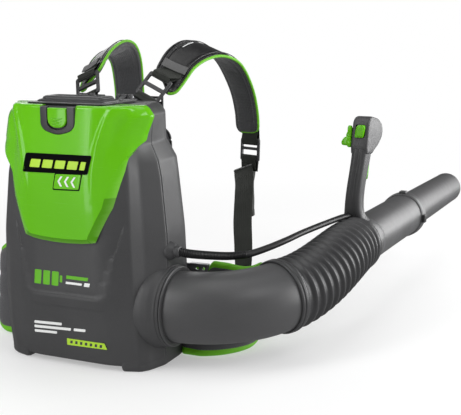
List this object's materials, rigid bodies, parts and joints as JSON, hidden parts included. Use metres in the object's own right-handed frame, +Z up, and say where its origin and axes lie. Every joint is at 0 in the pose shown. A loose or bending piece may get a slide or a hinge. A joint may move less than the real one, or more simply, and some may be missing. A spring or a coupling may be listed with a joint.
{
  "type": "backpack leaf blower",
  "caption": "Cordless backpack leaf blower with a green and dark grey housing, elbow, ribbed hose, control tube with pistol grip, nozzle, shoulder straps and hip pad.",
  "frame": {"origin": "on the floor under the middle of the housing", "axes": "+X to the wearer's right, the tube side; +Y the way the air is blown; +Z up"},
  "size_m": [0.7215, 1.277, 0.5713],
  "materials": {
    "green_gloss": "gloss",
    "shell_grey": "satin",
    "black_plastic": "satin",
    "tube_grey": "satin",
    "rubber_black": "matte",
    "pad_fabric": "matte",
    "webbing": "matte",
    "steel": "satin",
    "aluminium": "satin",
    "board_green": "satin"
  },
  "bodies": {
    "housing": {"front_shell": "shell_grey", "rear_shell": "shell_grey", "housing_screws": "steel", "front_cover": "green_gloss", "latch_bezel": "black_plastic", "battery_bay": "black_plastic", "terminal_block": "black_plastic", "battery_pack": "shell_grey", "lid_gasket": "rubber_black", "hinge_bracket": "black_plastic", "hinge_pins": "steel", "fan_housing": "black_plastic", "motor_can": "aluminium", "motor_bearings": "steel", "motor_stator": "steel", "intake_grille": "black_plastic", "control_board": "board_green", "heat_sink": "aluminium", "outlet_socket": "shell_grey", "socket_ring": "tube_grey", "cable_gland": "black_plastic", "cable_conduit": "rubber_black", "feet": "rubber_black", "anti_vibration_mounts": "rubber_black", "back_frame": "black_plastic", "strap_anchors": "steel", "belt_brackets": "steel", "back_pad": "pad_fabric", "hip_pad": "pad_fabric", "upper_buckles": "black_plastic", "upper_webbing": "webbing", "lower_buckles": "black_plastic", "lower_webbing": "webbing", "shoulder_pad_right": "pad_fabric", "shoulder_pad_left": "pad_fabric"},
    "lid": {"battery_lid": "black_plastic"},
    "latch": {"lid_latch": "green_gloss"},
    "rotor": {"impeller": "black_plastic", "motor_shaft": "steel", "motor_rotor": "steel"},
    "elbow": {"elbow_tube": "tube_grey", "hose_cuff": "tube_grey", "socket_seal": "rubber_black", "bellows_hose": "rubber_black"},
    "handle_tube": {"control_tube": "tube_grey", "hose_clamp": "tube_grey", "tube_lock_ring": "tube_grey", "nozzle_catch": "black_plastic", "grip_left": "tube_grey", "grip_right": "tube_grey", "trigger_pin": "steel", "trigger_switch": "black_plastic", "button_spring": "steel", "control_cable": "rubber_black"},
    "nozzle": {"nozzle": "tube_grey", "nozzle_seal": "rubber_black"},
    "trigger": {"trigger": "green_gloss"},
    "cruise": {"cruise_lever": "green_gloss"},
    "button": {"turbo_button": "green_gloss"}
  },
  "joints": [
    {"name": "lid_hinge", "type": "hinge", "parent": "housing", "child": "lid", "pos_m": [0, 0.05, 0.4635], "axis": [-1, 0, 0], "range_deg": [0, 100]},
    {"name": "latch_pull", "type": "hinge", "parent": "housing", "child": "latch", "pos_m": [0, -0.0985, 0.449], "axis": [-1, 0, 0], "range_deg": [0, 25], "stiffness_Nm_per_rad": 0.2},
    {"name": "impeller_spin", "type": "hinge", "parent": "housing", "child": "rotor", "pos_m": [-0.02, 0, 0.157], "axis": [0, 1, 0], "continuous": true},
    {"name": "elbow_swivel", "type": "hinge", "parent": "housing", "child": "elbow", "pos_m": [0.168, 0.005, 0.105], "axis": [1, 0, 0], "range_deg": [-15, 35], "deforming": ["cable_conduit"]},
    {"name": "hose_bend", "type": "hinge", "parent": "elbow", "child": "handle_tube", "pos_m": [0.345, 0.24, 0.138], "axis": [0, 0, 1], "range_deg": [-20, 20], "deforming": ["bellows_hose", "control_cable"]},
    {"name": "nozzle_twist", "type": "hinge", "parent": "handle_tube", "child": "nozzle", "pos_m": [0.367, 0.745, 0.16], "axis": [0, 1, 0], "range_deg": [0, 25]},
    {"name": "trigger_squeeze", "type": "hinge", "parent": "handle_tube", "child": "trigger", "pos_m": [0.367, 0.434, 0.336], "axis": [-1, 0, 0], "range_deg": [0, 14], "stiffness_Nm_per_rad": 0.3},
    {"name": "cruise_turn", "type": "hinge", "parent": "handle_tube", "child": "cruise", "pos_m": [0.349, 0.42, 0.372], "axis": [-1, 0, 0], "range_deg": [0, 60]},
    {"name": "button_press", "type": "slide", "parent": "handle_tube", "child": "button", "axis": [0, 1, 0], "range_m": [0, 0.003], "stiffness_N_per_m": 600}
  ]
}
